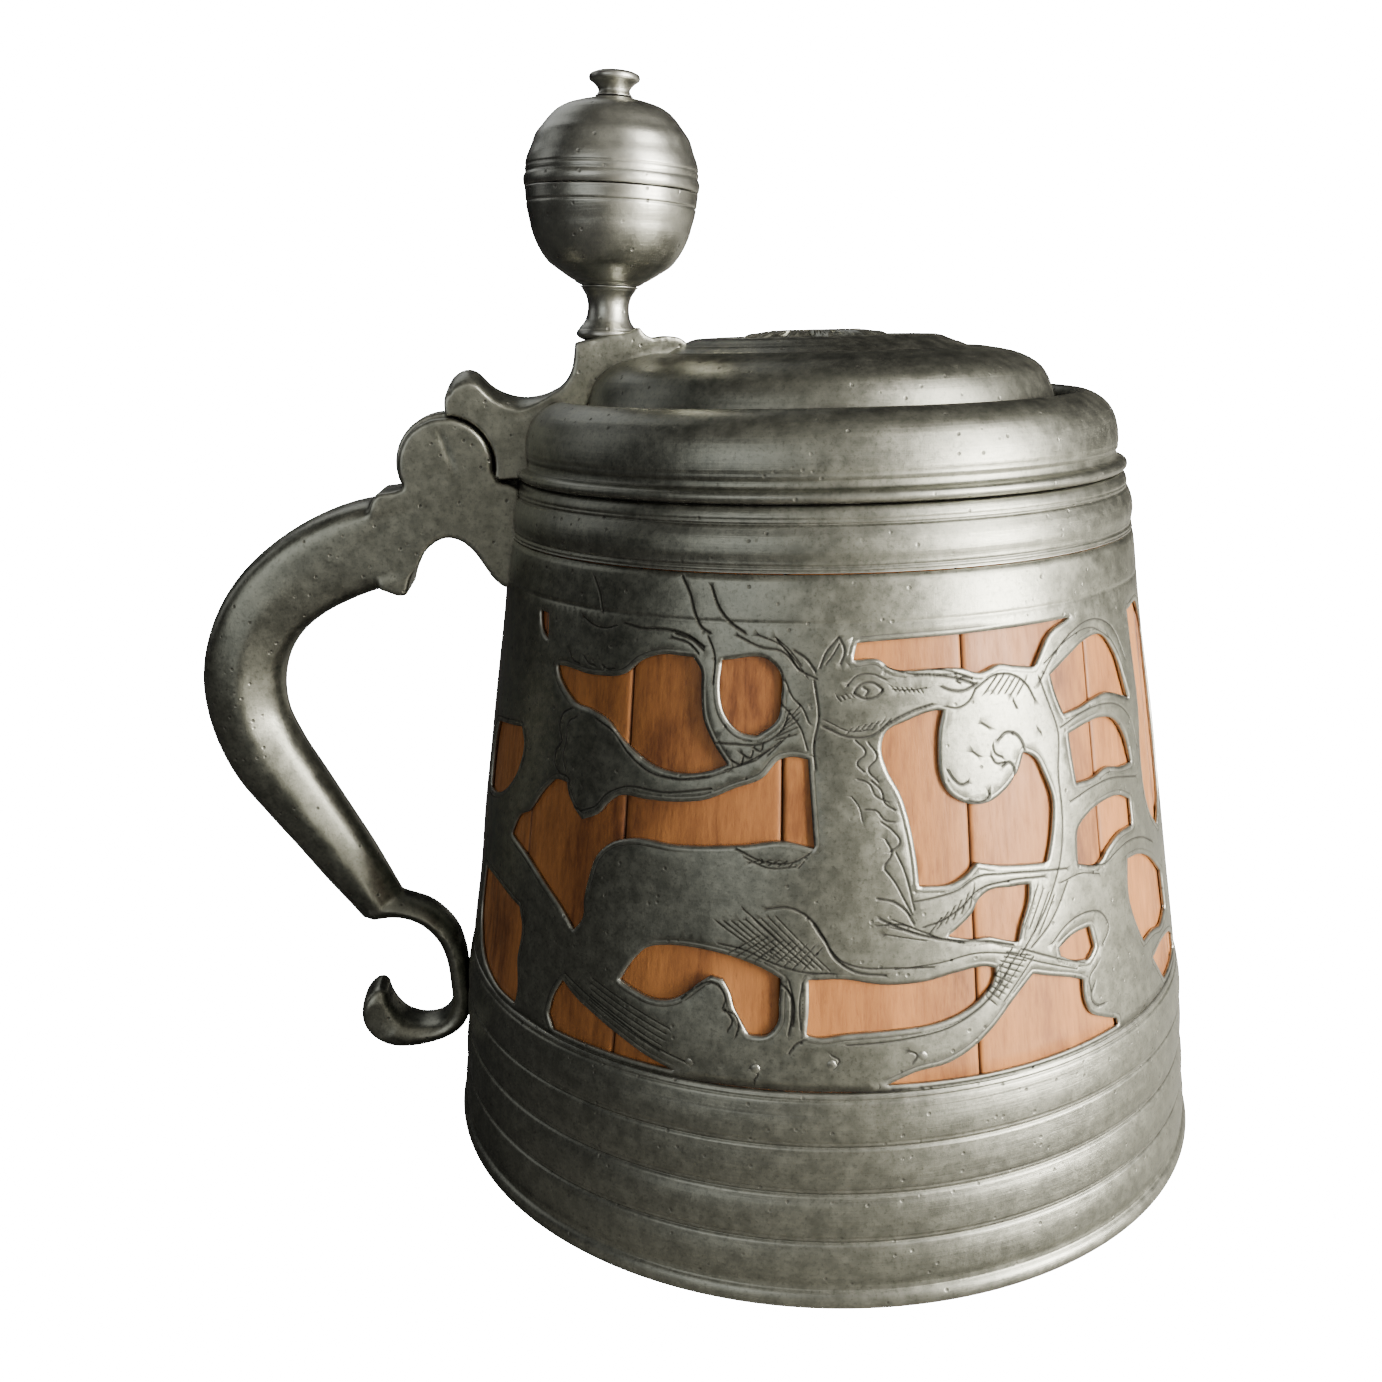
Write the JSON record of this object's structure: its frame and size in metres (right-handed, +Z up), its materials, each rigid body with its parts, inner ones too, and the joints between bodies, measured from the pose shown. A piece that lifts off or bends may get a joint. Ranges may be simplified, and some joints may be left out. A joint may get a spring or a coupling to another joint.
{
  "type": "lidded stave tankard",
  "caption": "Wooden stave tankard with pewter foot and rim bands, an openwork frieze, a scroll handle and a hinged domed lid with a ball thumbpiece.",
  "frame": {"origin": "on the body's axis, at the height of the surface that the tankard stands on", "axes": "+Z up along the body's axis; the handle, the hinge and the thumbpiece lie on the -X side in the plane y = 0"},
  "size_m": [0.2122, 0.1648, 0.2183],
  "materials": {
    "pewter": "aged pewter, dull grey-green patina worn bright on the raised parts",
    "dark_pewter": "aged cast pewter, dark in the hollows of the relief",
    "stave_wood": "reddish close-grained wood, waxed and worn, with fine vertical grain",
    "pitched_wood": "dark softwood board soaked with brewer's pitch",
    "pin_metal": "dark worn iron"
  },
  "bodies": {
    "tankard": {"stave_01": "stave_wood", "stave_02": "stave_wood", "stave_03": "stave_wood", "stave_04": "stave_wood", "stave_05": "stave_wood", "stave_06": "stave_wood", "stave_07": "stave_wood", "stave_08": "stave_wood", "stave_09": "stave_wood", "stave_10": "stave_wood", "stave_11": "stave_wood", "stave_12": "stave_wood", "stave_13": "stave_wood", "stave_14": "stave_wood", "bottom_board": "pitched_wood", "foot_band": "pewter", "upper_band": "pewter", "frieze": "pewter", "frieze_pin_1": "pin_metal", "frieze_pin_2": "pin_metal", "frieze_pin_3": "pin_metal", "frieze_pin_4": "pin_metal", "handle": "pewter", "hinge_pin": "pin_metal"},
    "lid": {"lid": "pewter", "lid_medallion": "dark_pewter", "lid_strap": "pewter", "thumb_stem": "pewter", "ball_lower": "pewter", "ball_upper": "pewter", "ball_button": "pewter"}
  },
  "joints": [
    {"name": "lid_hinge", "type": "hinge", "parent": "tankard", "child": "lid", "pos_m": [-0.076, 0, 0.1446], "axis": [0, -1, 0], "range_deg": [0, 105]}
  ]
}
